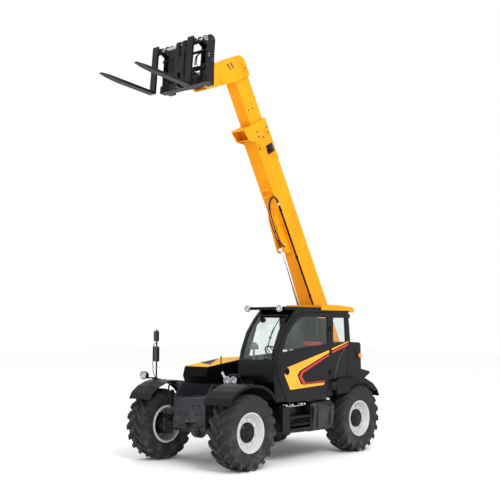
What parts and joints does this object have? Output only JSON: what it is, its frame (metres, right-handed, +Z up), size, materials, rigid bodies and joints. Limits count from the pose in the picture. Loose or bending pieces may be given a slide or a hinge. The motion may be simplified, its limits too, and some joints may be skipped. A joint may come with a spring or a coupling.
{
  "type": "telehandler",
  "caption": "Telescopic handler with a raised two-section boom, a fork carriage, a side cab and four-wheel steering on large lugged tyres.",
  "frame": {"origin": "on the ground under the middle of the overall box", "axes": "+X to the machine's left, the cab's side; -Y forwards, towards the forks; +Z up"},
  "size_m": [2.45, 5.7258, 7.3421],
  "materials": {
    "boom_yellow": "gloss",
    "frame_grey": "satin",
    "cab_grey": "satin",
    "black_paint": "satin",
    "hood_black": "gloss",
    "bare_steel": "satin",
    "rod_chrome": "polished",
    "tyre_rubber": "matte",
    "rim_silver": "satin",
    "glazing": "polished",
    "moulded_plastic": "matte",
    "hose_rubber": "matte",
    "seat_fabric": "matte",
    "engine_iron": "rough",
    "lamp_clear": "gloss",
    "lamp_panel_silver": "satin",
    "lamp_red": "gloss",
    "lamp_amber": "gloss"
  },
  "bodies": {
    "chassis": {"axle_front": "frame_grey", "axle_rear": "frame_grey", "beacon": "lamp_amber", "cab_glass": "glazing", "cab_mounts": "frame_grey", "cab_shell": "cab_grey", "chassis_frame": "frame_grey", "chassis_pins": "bare_steel", "dash": "moulded_plastic", "engine_block": "engine_iron", "engine_pod": "frame_grey", "exhaust": "bare_steel", "fenders_front": "moulded_plastic", "fenders_rear": "moulded_plastic", "lamp_panel": "lamp_panel_silver", "lamps": "lamp_clear", "mirror_pole": "black_paint", "rear_box": "black_paint", "roof": "boom_yellow", "roof_guard": "black_paint", "seat": "seat_fabric", "seat_base": "moulded_plastic", "side_tank": "moulded_plastic", "steering_wheel": "moulded_plastic", "step_box": "black_paint", "tail_lamps": "lamp_red", "tow_hitch": "frame_grey", "windscreen": "glazing"},
    "boom": {"boom_outer": "boom_yellow", "boom_pads": "moulded_plastic", "boom_pipes": "hose_rubber"},
    "boom_section": {"boom_inner": "boom_yellow", "boom_head": "boom_yellow", "tilt_pin": "bare_steel"},
    "fork_carriage": {"carriage": "black_paint", "fork_shaft": "black_paint", "fork_left": "black_paint", "fork_right": "black_paint"},
    "lift_cylinder": {"lift_barrel": "black_paint"},
    "lift_piston": {"lift_rod": "rod_chrome"},
    "cab_door": {"door": "cab_grey", "door_glass": "glazing"},
    "engine_hood": {"hood": "hood_black", "hood_grille": "black_paint"},
    "steer_front_left": {"knuckle_front_left": "frame_grey"},
    "wheel_front_left": {"tyre_front_left": "tyre_rubber", "rim_front_left": "rim_silver", "hub_front_left": "black_paint"},
    "steer_front_right": {"knuckle_front_right": "frame_grey"},
    "wheel_front_right": {"tyre_front_right": "tyre_rubber", "rim_front_right": "rim_silver", "hub_front_right": "black_paint"},
    "steer_rear_left": {"knuckle_rear_left": "frame_grey"},
    "wheel_rear_left": {"tyre_rear_left": "tyre_rubber", "rim_rear_left": "rim_silver", "hub_rear_left": "black_paint"},
    "steer_rear_right": {"knuckle_rear_right": "frame_grey"},
    "wheel_rear_right": {"tyre_rear_right": "tyre_rubber", "rim_rear_right": "rim_silver", "hub_rear_right": "black_paint"}
  },
  "joints": [
    {"name": "boom_lift", "type": "hinge", "parent": "chassis", "child": "boom", "pos_m": [0, 2.545, 1.85], "axis": [-1, 0, 0], "range_deg": [-64, 9]},
    {"name": "boom_extend", "type": "slide", "parent": "boom", "child": "boom_section", "axis": [0, -0.4848, 0.8746], "range_m": [-0.7, 2.3]},
    {"name": "fork_tilt", "type": "hinge", "parent": "boom_section", "child": "fork_carriage", "pos_m": [0, -1.10054, 6.6322], "axis": [-1, 0, 0], "range_deg": [-59, 69]},
    {"name": "lift_cylinder_swing", "type": "hinge", "parent": "chassis", "child": "lift_cylinder", "pos_m": [0, 2.345, 1.22], "axis": [-1, 0, 0], "range_deg": [-59.5, 9.2]},
    {"name": "lift_piston_slide", "type": "slide", "parent": "lift_cylinder", "child": "lift_piston", "axis": [0, -0.4212, 0.9069], "range_m": [-0.664, 0.098]},
    {"name": "door_hinge", "type": "hinge", "parent": "chassis", "child": "cab_door", "pos_m": [1.142, 1.155, 1.9], "axis": [0, 0, 1], "range_deg": [0, 85]},
    {"name": "hood_hinge", "type": "hinge", "parent": "chassis", "child": "engine_hood", "pos_m": [0, 1.817, 1.7], "axis": [-1, 0, 0], "range_deg": [0, 50]},
    {"name": "steering_front_left", "type": "hinge", "parent": "chassis", "child": "steer_front_left", "pos_m": [0.87, -1.105, 0.61898], "axis": [0, 0, 1], "range_deg": [-35, 35]},
    {"name": "wheel_spin_front_left", "type": "hinge", "parent": "steer_front_left", "child": "wheel_front_left", "pos_m": [1, -1.105, 0.61898], "axis": [1, 0, 0], "continuous": true},
    {"name": "steering_front_right", "type": "hinge", "parent": "chassis", "child": "steer_front_right", "pos_m": [-0.87, -1.105, 0.61898], "axis": [0, 0, 1], "range_deg": [-35, 35]},
    {"name": "wheel_spin_front_right", "type": "hinge", "parent": "steer_front_right", "child": "wheel_front_right", "pos_m": [-1, -1.105, 0.61898], "axis": [1, 0, 0], "continuous": true},
    {"name": "steering_rear_left", "type": "hinge", "parent": "chassis", "child": "steer_rear_left", "pos_m": [0.87, 1.975, 0.61898], "axis": [0, 0, 1], "range_deg": [-35, 35]},
    {"name": "wheel_spin_rear_left", "type": "hinge", "parent": "steer_rear_left", "child": "wheel_rear_left", "pos_m": [1, 1.975, 0.61898], "axis": [1, 0, 0], "continuous": true},
    {"name": "steering_rear_right", "type": "hinge", "parent": "chassis", "child": "steer_rear_right", "pos_m": [-0.87, 1.975, 0.61898], "axis": [0, 0, 1], "range_deg": [-35, 35]},
    {"name": "wheel_spin_rear_right", "type": "hinge", "parent": "steer_rear_right", "child": "wheel_rear_right", "pos_m": [-1, 1.975, 0.61898], "axis": [1, 0, 0], "continuous": true}
  ],
  "couplings": [
    {"joint": "lift_cylinder_swing", "follows": "boom_lift", "ratio": 0.914},
    {"joint": "lift_piston_slide", "follows": "boom_lift", "m_per_rad": 0.59},
    {"joint": "steering_front_right", "follows": "steering_front_left", "ratio": 1},
    {"joint": "steering_rear_right", "follows": "steering_rear_left", "ratio": 1}
  ]
}
